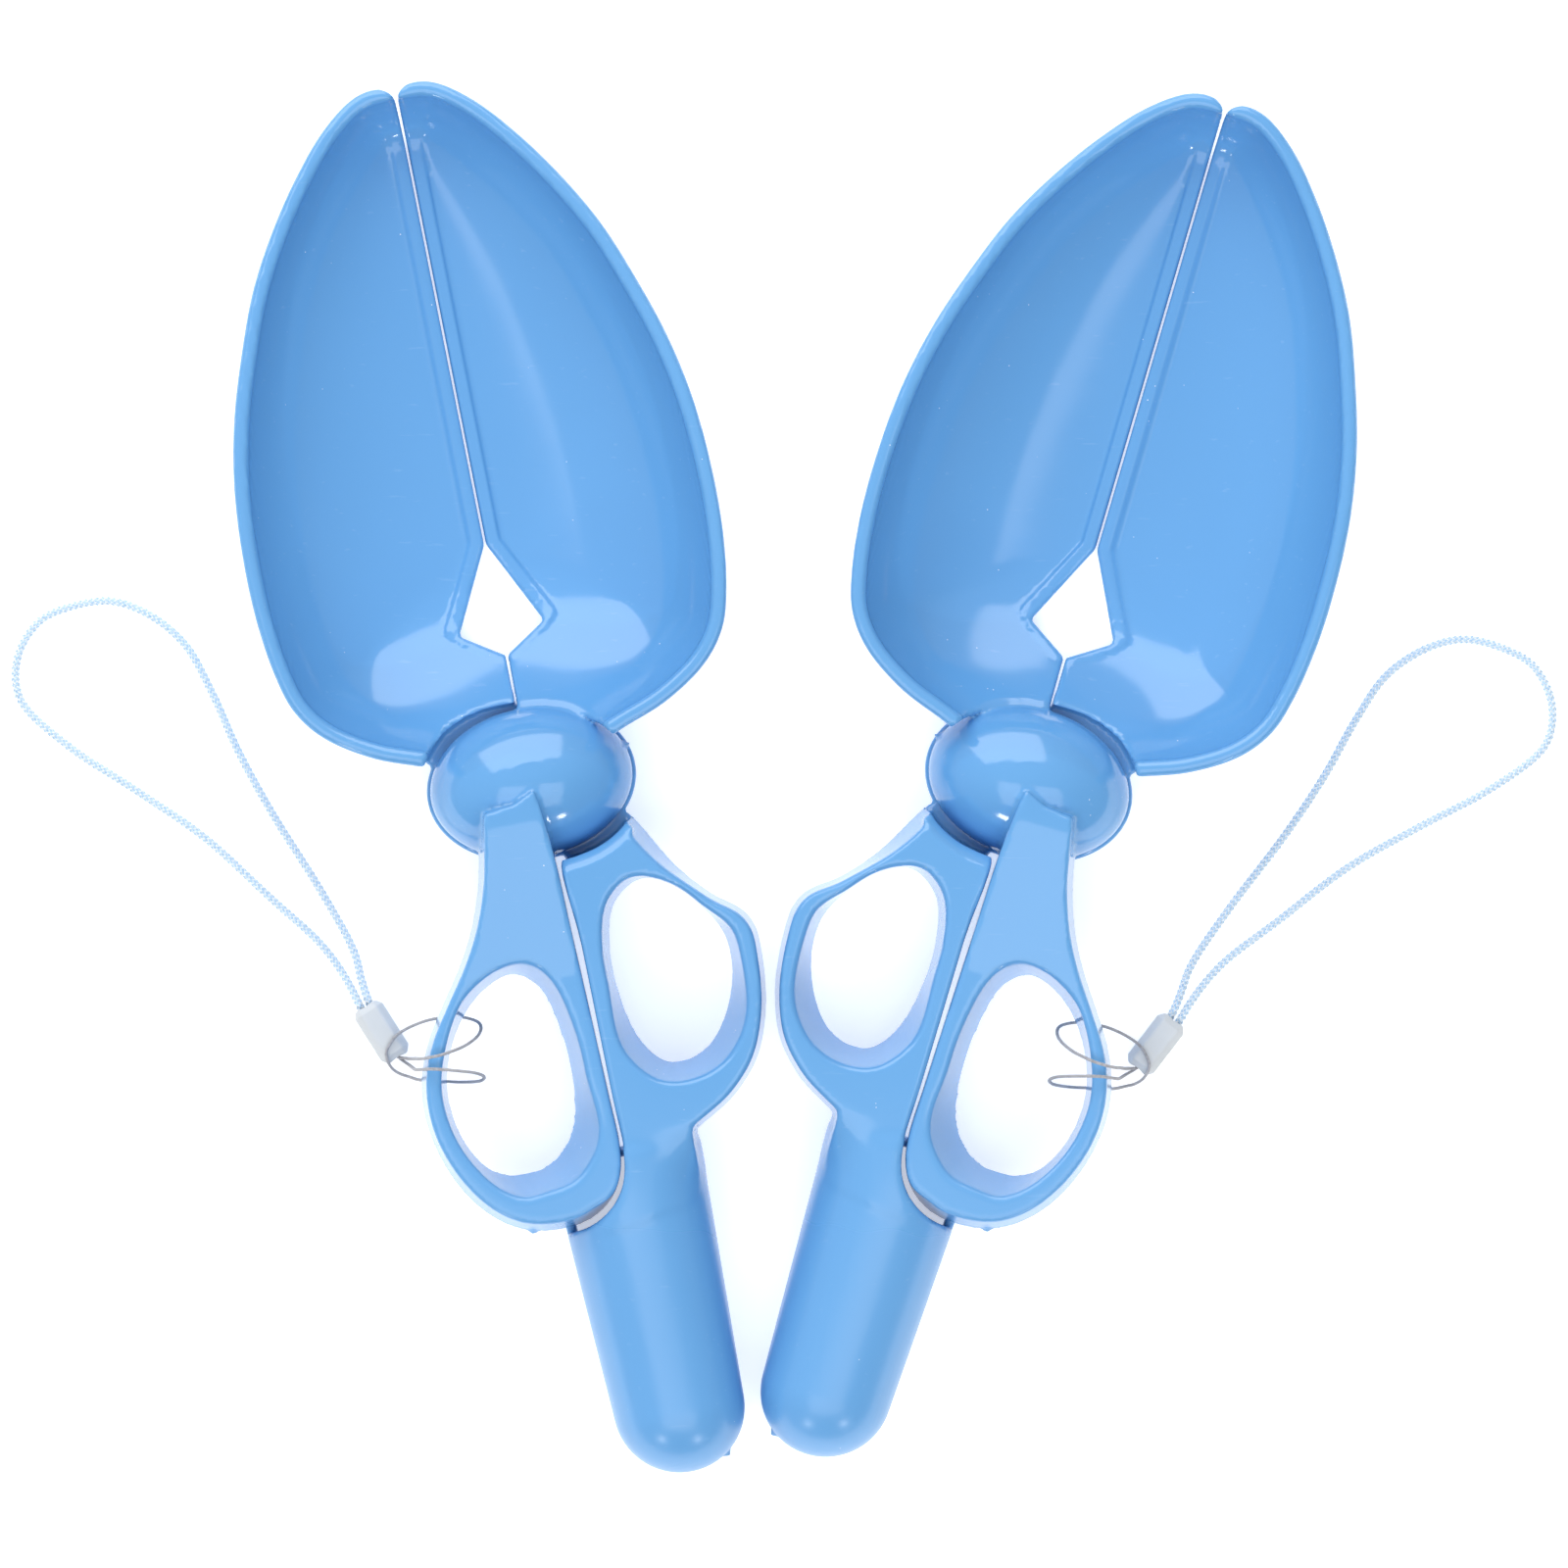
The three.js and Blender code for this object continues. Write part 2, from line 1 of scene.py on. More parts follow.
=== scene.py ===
"""Looks for a pair of scissor-action grabber scoops lying bowls up on a pale surface.

Each grabber is built once in its own frame, in millimetres. Its origin is on the pivot axis, at the surface
it lies on. +Y runs along the bowl's seam towards the tips and +X to the right. It is then placed twice, the
second time mirrored.
"""
import math

import bpy
import numpy as np
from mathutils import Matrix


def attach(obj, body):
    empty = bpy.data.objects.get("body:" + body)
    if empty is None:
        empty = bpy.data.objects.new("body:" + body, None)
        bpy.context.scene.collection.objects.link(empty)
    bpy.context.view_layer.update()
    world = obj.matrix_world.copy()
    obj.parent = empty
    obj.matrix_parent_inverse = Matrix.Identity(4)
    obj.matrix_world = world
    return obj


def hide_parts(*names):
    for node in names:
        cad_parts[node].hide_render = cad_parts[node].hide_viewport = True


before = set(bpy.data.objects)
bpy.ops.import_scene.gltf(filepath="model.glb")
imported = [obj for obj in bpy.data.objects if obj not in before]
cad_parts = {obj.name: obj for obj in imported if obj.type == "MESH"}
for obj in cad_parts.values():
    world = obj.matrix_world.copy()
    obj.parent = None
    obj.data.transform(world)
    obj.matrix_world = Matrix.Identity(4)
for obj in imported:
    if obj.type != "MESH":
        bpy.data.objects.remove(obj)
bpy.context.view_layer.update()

import openvdb
from mathutils import Matrix, Vector

MM = 0.001

# ---- Where the two grabbers lie, in metres and degrees ----
SIDES = {
    "left": {"mirror": 1, "turn": 11.2, "at": (-0.061952, -0.000903)},
    "right": {"mirror": -1, "turn": -16.3, "at": (0.054848, -0.000903)},
}
VIEW_CENTRE = (-0.00263, -0.00125)
VIEW_WIDTH = 0.368
LENS = 500
SENSOR = 36

# ---- Driving dimensions, millimetres ----
OPEN_ANGLE = 15
WALL = 2.4
SEAM_HALF_GAP = 0.25
FLOOR_THICK = 2.3
RIM_WIDTH = 3.2
RIM_DROP = 5
RIM_HEIGHT = 34
TIP_DROP = 10
WALL_LEAN = 0.12
SADDLE_TOP = 20.3
SADDLE_FLAT = 1.2
SADDLE_SLOPE = 0.96
SADDLE_BLEND = 11
DISC_TOP = 16
DISC_BOTTOM = 8
DISC = (24.8, 18.4)
DOME = (24, 17.6)
DOME_BASE = 16.6
DOME_TOP = 36
SWING_GAP = 1.2
HANDLE_TOP = 35
HANDLE_BOTTOM = 16.6
DRAFT = 1.8
GRIP_START = -88
GRIP_END = -166
GRIP_R0 = 17.9
GRIP_R1 = 15.4
RIBS = (-112, -128, -144)
RIB_THICK = 1.6
RIB_BOTTOM = 6
NEST_GAP = 1.2
NECK_CHAMFER = 2.4
SCREW_R = 1.7
SCREW_HEAD_R = 4.2
SCREW_HEAD_HIGH = 2.2
SCREW_BOTTOM = 4.4
SHANK_BOTTOM = 6
SHANK_TOP = 29
SLOT_HALF_LONG = 2.4
SLOT_HALF_WIDE = 0.5
SLOT_DEEP = 1.3
THREAD_PITCH = 1.4
WASHER_R = 6
WASHER_TOP = 7.7
WASHER_THICK = 0.8
BOSS_R = 5.2

# The sectors round the pivot, in plan, where the lower lever's ledges and walls stand.
BOWL_SECTOR = [(-SEAM_HALF_GAP, 5), (-SEAM_HALF_GAP, 40), (-40, 30), (-22.4, 8.2)]
NECK_SECTOR = [(4.4, -5), (4.4, -40), (40, -40), (21, -11.5)]

# The stubs that the moulds' gates leave: radius and place.
DOME_STUB = (0.9, (23.6, 4.6, 19))
RING_STUB = (1, (-20, -103.2, 17.6))
GRIP_STUB = (0.9, (14.6, -163.6, 13))

FERRULE = {"length": 14.6, "width": 7.6, "bevel": 1.6, "bore": 5}
FERRULE_AT = (-46.1, -50.7)
FERRULE_TURN = 21.2

BOWL_HALF = [
    (0, 1), (9, 2.4), (17, 5.4), (23.5, 8.2), (35, 12.6), (45.6, 19.6), (51.2, 27), (53.9, 36), (55.7, 50),
    (55.9, 66), (54.6, 82), (51.6, 97), (47.2, 111), (41.6, 125.5), (34.4, 138.5), (26, 150.5),
    (17.5, 160), (9, 165.8), (0, 167),
]
FLOOR_LINE = (43, 150)
HALF = [
    (SEAM_HALF_GAP, 2), (SEAM_HALF_GAP, 30.6), (10.1, 37), (SEAM_HALF_GAP, 57), (SEAM_HALF_GAP, 163.4),
    (1.1, 165), (3, 166.3), (6.5, 167.2), (60, 168), (60, 2),
]
UPPER_HANDLE = [
    (0.8, -3.2), (0.5, -1.8), (-0.9, -1.9), (-6, -2.7), (-12.2, -3.3), (-13.6, -3.3), (-13.8, -4.7),
    (-14.8, -10), (-17, -21), (-20.6, -31), (-25, -39), (-30.5, -47), (-35.4, -54.5), (-38.7, -62.5),
    (-39.8, -71), (-38.6, -80.5), (-35, -90), (-29.5, -97.6), (-22.5, -102.5), (-14, -104.3),
    (-6, -103.2), (-0.6, -99.6), (2.6, -94.4), (3.9, -88), (3.7, -75), (3.2, -55), (2.6, -35),
    (2.1, -18),
]
UPPER_RING = [
    (-13.5, -43.4), (-22.8, -47.4), (-30.2, -57), (-33.4, -68), (-31.6, -80), (-26.6, -87.5),
    (-19.5, -89.8), (-12, -88), (-6.6, -82), (-4.3, -72), (-4.8, -58), (-8, -47),
]
LOWER_HANDLE = [
    (4.1, -17.4), (9, -16.4), (14.8, -14.2), (20.8, -11.4), (22.4, -13.2), (25.4, -18.4), (29.6, -25.6),
    (36.2, -33.4), (43, -39), (45.2, -43.6), (45.4, -51), (43.9, -62.6), (39.6, -73.6), (32.4, -81.4),
    (24.4, -86.2), (22.7, -87.2), (22.3, -89.4), (21.8, -98), (18.5, -104), (6, -106), (-4, -106),
    (0.6, -102), (3.4, -97.6), (4.7, -91), (4.5, -75), (4.3, -40),
]
LOWER_RING = [
    (20.8, -27.2), (13.8, -31.4), (10.8, -40.5), (10.9, -54), (13.6, -64.2), (18, -69.8), (22.4, -70.8),
    (28.6, -68.6), (34.4, -61.4), (37.8, -51), (37.2, -43), (33.2, -36), (27, -29.6),
]

# The strap's braid: the length of one turn, the core's radius, and each strand's radius, its distance from
# the middle and how far it rises over the next one.
BRAID_TURN = 0.0052
BRAID_CORE_R = 0.00055
BRAID_STRAND_R = 0.0003
BRAID_STRAND_OUT = 0.00058
BRAID_WEAVE = 0.00012

# The thin cord's twist, in the same terms.
TWIST_TURN = 0.0017
TWIST_STRAND_R = 0.00022
TWIST_STRAND_OUT = 0.0002

STRAP_ROUTE = [
    (-0.0462, -0.0472, 0.0038), (-0.0476, -0.0435, 0.0038), (-0.0484, -0.038, 0.0026),
    (-0.0489, -0.031, 0.0012), (-0.0536, -0.0159, 0.00115), (-0.0616, 0.0051, 0.00115),
    (-0.0665, 0.0207, 0.00115), (-0.07, 0.0359, 0.00115), (-0.074, 0.0479, 0.00115),
    (-0.0812, 0.0566, 0.00115), (-0.0892, 0.0612, 0.00115), (-0.0987, 0.0617, 0.00115),
    (-0.1063, 0.0599, 0.00115), (-0.1124, 0.0539, 0.00115), (-0.1147, 0.0471, 0.00115),
    (-0.114, 0.0413, 0.00115), (-0.1051, 0.0292, 0.00115), (-0.0916, 0.016, 0.00115),
    (-0.0781, 0.0021, 0.00115), (-0.0656, -0.0149, 0.00115), (-0.0564, -0.0274, 0.00115),
    (-0.0529, -0.0344, 0.0014), (-0.0511, -0.0396, 0.0028), (-0.0498, -0.0443, 0.0038),
    (-0.0483, -0.048, 0.0038),
]
CORD_ROUTE = [
    (-0.0447, -0.0543, 0.005), (-0.0437, -0.057, 0.0052), (-0.0416, -0.0579, 0.007),
    (-0.0391, -0.0583, 0.021), (-0.0382, -0.0584, 0.031), (-0.0365, -0.0585, 0.0359),
    (-0.0331, -0.0585, 0.0366), (-0.03, -0.0581, 0.0356), (-0.0271, -0.0575, 0.032),
    (-0.0242, -0.0562, 0.028), (-0.0228, -0.0546, 0.0235), (-0.0229, -0.0531, 0.0192),
    (-0.0244, -0.0519, 0.0159), (-0.0271, -0.0508, 0.0149), (-0.0332, -0.05, 0.0139),
    (-0.0396, -0.0509, 0.009), (-0.0426, -0.0521, 0.0087), (-0.0446, -0.0538, 0.0087),
    (-0.0459, -0.0556, 0.0086), (-0.046, -0.0577, 0.0082), (-0.0453, -0.0597, 0.0064),
    (-0.0438, -0.0612, 0.0046), (-0.0418, -0.0623, 0.005), (-0.0403, -0.0631, 0.0086),
    (-0.0386, -0.0637, 0.013), (-0.036, -0.0644, 0.0149), (-0.0328, -0.0651, 0.0152),
    (-0.0302, -0.0657, 0.0175), (-0.0252, -0.0663, 0.025), (-0.0241, -0.0656, 0.029),
    (-0.0253, -0.0645, 0.0327), (-0.0284, -0.0633, 0.0357), (-0.0354, -0.0613, 0.0366),
    (-0.0381, -0.0609, 0.0346), (-0.0393, -0.0608, 0.029), (-0.04, -0.0606, 0.02),
    (-0.0407, -0.0601, 0.0105), (-0.0416, -0.0592, 0.0052), (-0.0433, -0.0574, 0.0031),
    (-0.0446, -0.0546, 0.0029),
]


def placement(side):
    """The matrix from the grabber's own frame to the row frame, both in metres."""
    place = SIDES[side]
    turn = Matrix.Rotation(math.radians(place["turn"]), 4, "Z")
    return Matrix.Translation((*place["at"], 0)) @ turn @ Matrix.Diagonal((place["mirror"], 1, 1, 1))


# ---- Curves through a few points ----
def through(points, steps, closed):
    """A centripetal Catmull-Rom curve through the points, with that many steps in each span."""
    p = np.array(points, float)
    if closed:
        padded = np.vstack([p[-1:], p, p[:2]])
    else:
        padded = np.vstack([2 * p[:1] - p[1:2], p, 2 * p[-1:] - p[-2:-1]])
    out = []
    for a, b, c, d in zip(padded, padded[1:], padded[2:], padded[3:]):
        t1 = np.linalg.norm(b - a) ** 0.5
        t2 = t1 + np.linalg.norm(c - b) ** 0.5
        t3 = t2 + np.linalg.norm(d - c) ** 0.5
        t = np.linspace(t1, t2, steps, endpoint=False)[:, None]
        ab = (t1 - t) / t1 * a + t / t1 * b
        bc = (t2 - t) / (t2 - t1) * b + (t - t1) / (t2 - t1) * c
        cd = (t3 - t) / (t3 - t2) * c + (t - t2) / (t3 - t2) * d
        abc = (t2 - t) / t2 * ab + t / t2 * bc
        bcd = (t3 - t) / (t3 - t1) * bc + (t - t1) / (t3 - t1) * cd
        out.append((t2 - t) / (t2 - t1) * abc + (t - t1) / (t2 - t1) * bcd)
    if not closed:
        out.append(p[-1:])
    return np.vstack(out)


# ---- Distance fields: negative inside the solid ----
def smoothstep(v, low, high):
    t = np.clip((v - low) / (high - low), 0, 1)
    return t * t * (3 - 2 * t)


def join(a, b, r):
    """The union of two solids with a fillet of about r between them."""
    h = np.maximum(r - np.abs(a - b), 0) / r
    return np.minimum(a, b) - h * h * r / 4


def meet(a, b, r):
    """The part inside both, with its edge rounded to radius r, which may change from place to place."""
    return np.minimum(np.maximum(a, b), -r) + np.hypot(np.maximum(a + r, 0), np.maximum(b + r, 0))


def cut(a, b, r=0.01):
    """a without b, the edge rounded to radius r."""
    return meet(a, -b, r)


def plan(points, x, y):
    """How far a point lies from a closed outline, in plan."""
    nearest = np.full(np.broadcast(x, y).shape, 1e9, np.float32)
    inside = np.zeros(nearest.shape, bool)
    for (ax, ay), (bx, by) in zip(points, np.roll(points, -1, axis=0)):
        ex = bx - ax
        ey = by - ay
        t = np.clip(((x - ax) * ex + (y - ay) * ey) / (ex * ex + ey * ey), 0, 1)
        nearest = np.minimum(nearest, (x - ax - t * ex) ** 2 + (y - ay - t * ey) ** 2)
        if ey:
            inside ^= ((ay > y) != (by > y)) & (x < ax + (y - ay) * ex / ey)
    return np.sqrt(nearest) * np.where(inside, -1, 1)


def oval(a, b, x, y):
    """About how far a point lies from an oval, in plan."""
    k0 = np.hypot(x / a, y / b)
    k1 = np.hypot(x / a**2, y / b**2) + 1e-6
    return k0 * (k0 - 1) / k1


def swept_oval(a, b, x, y, direction):
    """The space an oval needs as it swings from rest to the open angle."""
    found = None
    for turn in np.linspace(0, OPEN_ANGLE, 7):
        c = math.cos(math.radians(turn * direction))
        s = math.sin(math.radians(turn * direction))
        one = oval(a, b, c * x + s * y, c * y - s * x)
        found = one if found is None else np.minimum(found, one)
    return found


def domed(a, b, c, x, y, z):
    """An upright half ellipsoid on a skirt of the same oval."""
    up = np.maximum(z - DOME_BASE - 1, 0)
    k0 = np.sqrt((x / a) ** 2 + (y / b) ** 2 + (up / c) ** 2)
    k1 = np.sqrt((x / a**2) ** 2 + (y / b**2) ** 2 + (up / c**2) ** 2) + 1e-6
    return k0 * (k0 - 1) / k1


def rod(radius, low, high, x, y, z, soft=0.3):
    return meet(np.hypot(x, y) - radius, np.abs(z - (low + high) / 2) - (high - low) / 2, soft)


def blob(radius, at, x, y, z):
    return np.sqrt((x - at[0]) ** 2 + (y - at[1]) ** 2 + (z - at[2]) ** 2) - radius


class Field:
    """A box of evenly spaced points, in millimetres, and what turns a field over it into a mesh."""

    def __init__(self, low, high, voxel):
        self.voxel = voxel
        self.low = low
        axes = [np.arange(a, b + voxel, voxel, dtype=np.float32) for a, b in zip(low, high)]
        self.x = axes[0][:, None, None]
        self.y = axes[1][None, :, None]
        self.z = axes[2][None, None, :]

    def distance(self, values):
        """A field's values scaled so that they are about distances near its surface."""
        slopes = np.gradient(values, self.voxel)
        steep = np.sqrt(sum(s * s for s in slopes))
        return values / np.maximum(steep, 0.02)

    def surface(self, values):
        """The points and quads of the surface where the field is zero."""
        far = 3 * self.voxel
        grid = openvdb.FloatGrid(far)
        grid.copyFromArray(np.clip(values, -far, far).astype(np.float32))
        points, quads = grid.convertToQuads(0)
        return points * self.voxel + np.array(self.low), quads


# ---- The bowl ----
def bowl_outline():
    half = through(BOWL_HALF, 6, False)
    other = half[1:-1][::-1] * (-1, 1)
    return np.vstack([half, other])


def saddle_height(x, y):
    """How high the bowl's floor stands where it climbs to the dome."""
    return SADDLE_TOP - SADDLE_SLOPE * np.maximum(oval(*DOME, x, y) - SADDLE_FLAT, 0)


def bowl_half(f, side):
    """Half a bowl: side is 1 for the upper lever's right half and -1 for the lower lever's left half."""
    x, y, z = f.x, f.y, f.z
    edge = -plan(bowl_outline(), x, y)
    half_line = plan([(side * px, py) for px, py in HALF], x, y)
    rim = RIM_HEIGHT - TIP_DROP * smoothstep(y, 70, 175)

    # The middle line has a raised lip along the seam and round the kite-shaped window.
    lip_width = 1.4 + 2 * smoothstep(y, 36.5, 38.5)
    lip = 1.2 * (1 - smoothstep(-half_line, lip_width - 0.3, lip_width + 0.5))
    lip = lip * smoothstep(y, 29, 31) * (1 - smoothstep(y, 148, 162))
    core = np.hypot(x, y - np.clip(y, *FLOOR_LINE))

    def hollow(floor):
        inward = edge - RIM_WIDTH - WALL_LEAN * (rim - z)
        share = core / (core + np.maximum(inward, 0) + 1e-3)
        share = np.where(inward > 0, share, 1 - inward / 20)
        rise = np.clip((z - floor) / (rim - 0.5 - floor), None, 1)
        return f.distance(share**2.41 + np.sign(1 - rise) * np.abs(1 - rise) ** 2.2 - 1)

    ramp = saddle_height(x, y)
    under_ramp = (ramp - z) / math.hypot(1, SADDLE_SLOPE)
    plain = -join(-hollow(FLOOR_THICK), -under_ramp, SADDLE_BLEND)
    lipped = -join(-hollow(FLOOR_THICK + lip), -under_ramp, SADDLE_BLEND)
    shell = np.maximum(plain - FLOOR_THICK, -lipped)
    shell = np.maximum(shell, z - rim + 0.5)
    across = np.abs(edge - RIM_WIDTH / 2) - RIM_WIDTH / 2
    bead = meet(across, np.abs(z - rim + RIM_DROP / 2) - RIM_DROP / 2, 1.3)
    shell = join(shell, bead, 1)
    shell = np.maximum(shell, -z)
    return meet(shell, half_line, 0.45)


# ---- Handles: open-bottomed channel mouldings with a finger ring ----
def grip_shape(y):
    """Where the grip tube's middle lies across the grabber, and its radius."""
    middle = np.interp(y, [GRIP_END, GRIP_START], [5.7, 4.7])
    radius = np.interp(y, [GRIP_END + GRIP_R1, GRIP_START], [GRIP_R1, GRIP_R0])
    return middle, radius


def handle(f, outline, ring, draft, top, flare):
    """One handle. draft is how far its outer wall leans in, and flare how far its ring's wall leans out."""
    x, y, z = f.x, f.y, f.z
    up = (z - HANDLE_BOTTOM) / (HANDLE_TOP - HANDLE_BOTTOM)
    outside = plan(through(outline, 6, True), x, y) + draft * up
    hole = flare * up - plan(through(ring, 6, True), x, y)
    body = np.maximum(meet(outside, z - top, 0.6), meet(hole, z - top, 0.8))
    return np.maximum(cut(body, body + WALL, 0.3), HANDLE_BOTTOM - z)


def upper_handle(f):
    draft = smoothstep(-f.x, -2, 6) * (DRAFT - 0.2 + 0.5 * smoothstep(-f.y, 75, 95))
    flare = 1.2 + smoothstep(f.x, -33, -25) + 1.6 * smoothstep(f.x, -16, -6)
    flare = flare + 3.6 * smoothstep(-f.y, 68, 88) * smoothstep(f.x, -30, -19)
    top = HANDLE_TOP - 0.6 + 2.9 * np.clip((f.y + 46) / 37, 0, 1)
    return handle(f, UPPER_HANDLE, UPPER_RING, draft, top, flare)


def lower_handle(f):
    draft = smoothstep(f.x, 5, 12) * (1.3 + 2 * smoothstep(f.y, -34, -18))
    flare = 1.8 + 0.7 * smoothstep(f.x, 20, 34) + 3 * smoothstep(-f.y, 48, 68)
    flare = flare * (1 - 0.8 * smoothstep(f.y, -44, -35) * smoothstep(f.x, 16, 24))
    middle, radius = grip_shape(f.y)
    round_top = GRIP_R0 + np.sqrt(np.maximum(radius**2 - (f.x - middle) ** 2, 0))
    top = HANDLE_TOP + smoothstep(-f.y, 85, 103) * (round_top - HANDLE_TOP)
    return handle(f, LOWER_HANDLE, LOWER_RING, draft, top, flare)


def grip(f):
    """An open-bottomed tube with a half-round top and a ball end, ribbed inside."""
    x, y, z = f.x, f.y, f.z
    middle, radius = grip_shape(y)
    past = np.minimum(y - GRIP_END - GRIP_R1, 0)
    away = np.sqrt((x - middle) ** 2 + past**2 + np.maximum(z - GRIP_R0, 0) ** 2) - radius
    tube = meet(away, y - GRIP_START, 3)
    ribs = None
    for at in RIBS:
        rib = np.maximum(np.maximum(np.abs(y - at) - RIB_THICK / 2, RIB_BOTTOM - z), away + 1)
        ribs = rib if ribs is None else np.minimum(ribs, rib)
    tube = cut(tube, np.maximum(away, y - GRIP_START) + WALL)
    tube = np.maximum(np.minimum(tube, ribs), -z)
    nest = plan(through(UPPER_HANDLE, 6, True), x, y) - NEST_GAP
    return cut(tube, np.maximum(nest, DISC_TOP - z), 0.8)


# ---- The two levers ----
def upper_lever(f):
    x, y, z = f.x, f.y, f.z
    rise = DOME_TOP - DOME_BASE - 1
    outer = domed(*DOME, rise, x, y, z)
    inner = domed(DOME[0] - WALL, DOME[1] - WALL, rise - WALL, x, y, z)
    dome = np.maximum(cut(outer, inner, 0.3), DOME_BASE - z)
    boss = rod(BOSS_R, DOME_BASE, DOME_TOP - 1, x, y, z)
    core = np.maximum(oval(*DOME, x, y) + 0.6, DOME_BASE - 9 - z)
    under_dome = np.maximum(outer + 0.8, DOME_BASE - 9 - z)
    plate_space = np.maximum(swept_oval(DISC[0] + SWING_GAP, DISC[1] + SWING_GAP, x, y, 1), z - DOME_BASE)

    bowl = cut(cut(bowl_half(f, 1), core, 0.4), plate_space, 0.3)
    arm = cut(cut(upper_handle(f), under_dome), plate_space, 0.3)
    lever = join(join(dome, bowl, 0.9), arm, 0.35)
    lever = join(lever, blob(*DOME_STUB, x, y, z), 0.6)
    lever = join(lever, boss, 0.8)
    lever = join(lever, blob(*RING_STUB, x, y, z), 0.8)
    return cut(lever, rod(SCREW_R + 0.3, 0, DOME_TOP - 6, x, y, z))


def lower_lever(f):
    x, y, z = f.x, f.y, f.z
    swing = swept_oval(DOME[0] + SWING_GAP, DOME[1] + SWING_GAP, x, y, -1)
    bowl_sector = plan(BOWL_SECTOR, x, y)
    neck_sector = plan(NECK_SECTOR, x, y)

    arms = join(lower_handle(f), grip(f), 1.5)
    arms = np.minimum(arms, bowl_half(f, -1))
    eased = swing - np.maximum(z - HANDLE_TOP + NECK_CHAMFER, 0) * (y < 0)
    arms = cut(arms, np.maximum(eased, DISC_TOP - z), 0.5)
    arms = np.maximum(arms, -oval(DISC[0] - 1, DISC[1] - 1, x, y))

    from_middle = np.abs(z - (DISC_TOP + DISC_BOTTOM) / 2)
    plate = meet(oval(*DISC, x, y), from_middle - (DISC_TOP - DISC_BOTTOM) / 2, 0.6)
    below = np.maximum(oval(*DISC, x, y) + WALL, z - DISC_TOP + WALL)
    hub = join(cut(plate, below, 0.3), rod(BOSS_R + 2, DISC_BOTTOM, DISC_TOP, x, y, z), 0.6)

    # Ledges reach out under the swinging dome to the bowl and to the handle, and walls stand on them.
    ledge = np.maximum(swing - WALL + 0.2, np.abs(z - DISC_TOP + WALL / 2) - WALL / 2)
    ledge = np.maximum(ledge, np.minimum(bowl_sector, neck_sector))
    band = np.maximum(np.maximum(swing - WALL, -eased), DISC_TOP - WALL - z)
    half_line = plan([(-px, py) for px, py in HALF], x, y)
    bowl_wall = np.maximum(band, z - saddle_height(x, y) + 0.6)
    bowl_wall = np.maximum(bowl_wall, np.maximum(bowl_sector, half_line))
    neck_top = np.maximum(neck_sector, plan(through(LOWER_HANDLE, 6, True), x, y) + DRAFT)
    neck_wall = meet(np.maximum(band, neck_top), z - HANDLE_TOP, 0.8)
    lever = join(arms, hub, 0.8)
    for more in (ledge, bowl_wall, neck_wall):
        lever = join(lever, more, 0.6)
    lever = join(lever, blob(*GRIP_STUB, x, y, z), 0.8)
    return cut(lever, rod(SCREW_R + 0.6, 0, 30, x, y, z))


# ---- Small hardware ----
def screw(f):
    x, y, z = f.x, f.y, f.z
    head = rod(SCREW_HEAD_R, SCREW_BOTTOM, SCREW_BOTTOM + SCREW_HEAD_HIGH, x, y, z, 0.7)
    one_slot = np.maximum(np.abs(x) - SLOT_HALF_WIDE, np.abs(y) - SLOT_HALF_LONG)
    other_slot = np.maximum(np.abs(y) - SLOT_HALF_WIDE, np.abs(x) - SLOT_HALF_LONG)
    cross = np.minimum(one_slot, other_slot)
    head = cut(head, np.maximum(cross, z - SCREW_BOTTOM - SLOT_DEEP), 0.15)
    turns = z / THREAD_PITCH - np.arctan2(y, x) / (2 * math.pi)
    thread = 0.45 * np.abs(turns - np.round(turns)) * (z > DISC_TOP)
    from_middle = np.abs(z - (SHANK_BOTTOM + SHANK_TOP) / 2)
    shank = np.maximum(np.hypot(x, y) - SCREW_R + thread, from_middle - (SHANK_TOP - SHANK_BOTTOM) / 2)
    return join(head, 0.8 * shank, 0.3)


def washer(f):
    x, y, z = f.x, f.y, f.z
    whole = rod(WASHER_R, WASHER_TOP - WASHER_THICK, WASHER_TOP, x, y, z, 0.25)
    return cut(whole, rod(SCREW_R + 0.3, 0, 30, x, y, z), 0.15)


def ferrule(f):
    """A bevelled sleeve: square with cut corners, its ends drawn in, and a bore right through."""
    x, y, z = f.x, f.y, f.z
    h = FERRULE["width"] / 2
    drawn = 0.75 * np.maximum(np.abs(y) - FERRULE["length"] / 2 + FERRULE["bevel"], 0)
    flat = np.maximum(np.abs(x), np.abs(z)) - h + drawn
    corner = (np.abs(x) + np.abs(z) - 2 * h + FERRULE["bevel"] + drawn) / math.sqrt(2)
    sleeve = meet(meet(flat, corner, 0.3), np.abs(y) - FERRULE["length"] / 2, 0.5)
    return cut(sleeve, np.hypot(x, z) - FERRULE["bore"] / 2 + np.zeros_like(y), 0.4)


